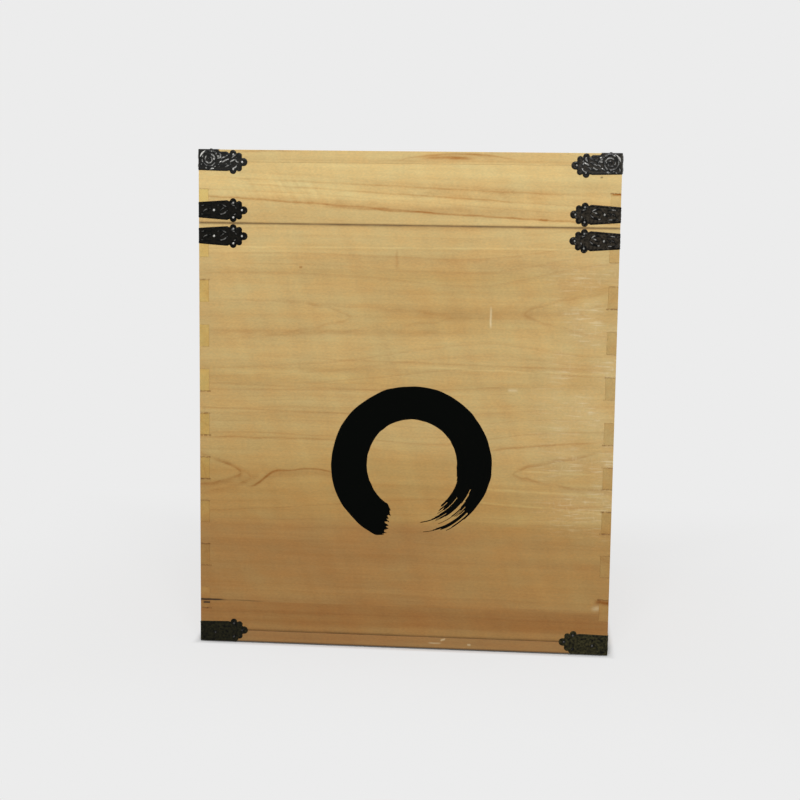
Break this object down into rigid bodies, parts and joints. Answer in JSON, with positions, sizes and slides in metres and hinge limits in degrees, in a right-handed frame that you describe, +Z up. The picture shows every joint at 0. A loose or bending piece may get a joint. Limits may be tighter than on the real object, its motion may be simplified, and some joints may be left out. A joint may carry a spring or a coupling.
{
  "type": "armor chest",
  "caption": "Square wooden storage chest with finger-jointed corners, a lift-off lid and embossed iron corner fittings.",
  "frame": {"origin": "on the floor, under the middle of the chest, at the underside of the base caps", "axes": "+Z up, -Y towards the front, +X to the right as seen from the front"},
  "size_m": [0.4246, 0.4036, 0.5087],
  "materials": {
    "body_wood": "planed pale softwood, satin",
    "lid_wood": "planed pale softwood, satin",
    "strip_wood": "planed pale softwood, matt",
    "black_iron": "embossed sheet iron, black, semi-gloss, worn on the high points"
  },
  "bodies": {
    "chest": {"bottom_board": "body_wood", "body_front_board": "body_wood", "body_back_board": "body_wood", "body_left_board": "body_wood", "body_right_board": "body_wood", "locating_strip_front": "strip_wood", "locating_strip_back": "strip_wood", "locating_strip_left": "strip_wood", "locating_strip_right": "strip_wood", "body_strap_front_left": "black_iron", "body_strap_front_right": "black_iron", "body_strap_back_right": "black_iron", "body_strap_back_left": "black_iron", "base_cap_front_left": "black_iron", "base_cap_front_right": "black_iron", "base_cap_back_right": "black_iron", "base_cap_back_left": "black_iron"},
    "lid": {"lid_top_board": "lid_wood", "lid_front_board": "lid_wood", "lid_back_board": "lid_wood", "lid_left_board": "lid_wood", "lid_right_board": "lid_wood", "lid_strap_front_left": "black_iron", "lid_strap_front_right": "black_iron", "lid_strap_back_right": "black_iron", "lid_strap_back_left": "black_iron", "lid_cap_front_left": "black_iron", "lid_cap_front_right": "black_iron", "lid_cap_back_right": "black_iron", "lid_cap_back_left": "black_iron"}
  },
  "joints": [
    {"name": "lid_lift", "type": "slide", "parent": "chest", "child": "lid", "axis": [0, 0, 1], "range_m": [0, 0.25]}
  ]
}
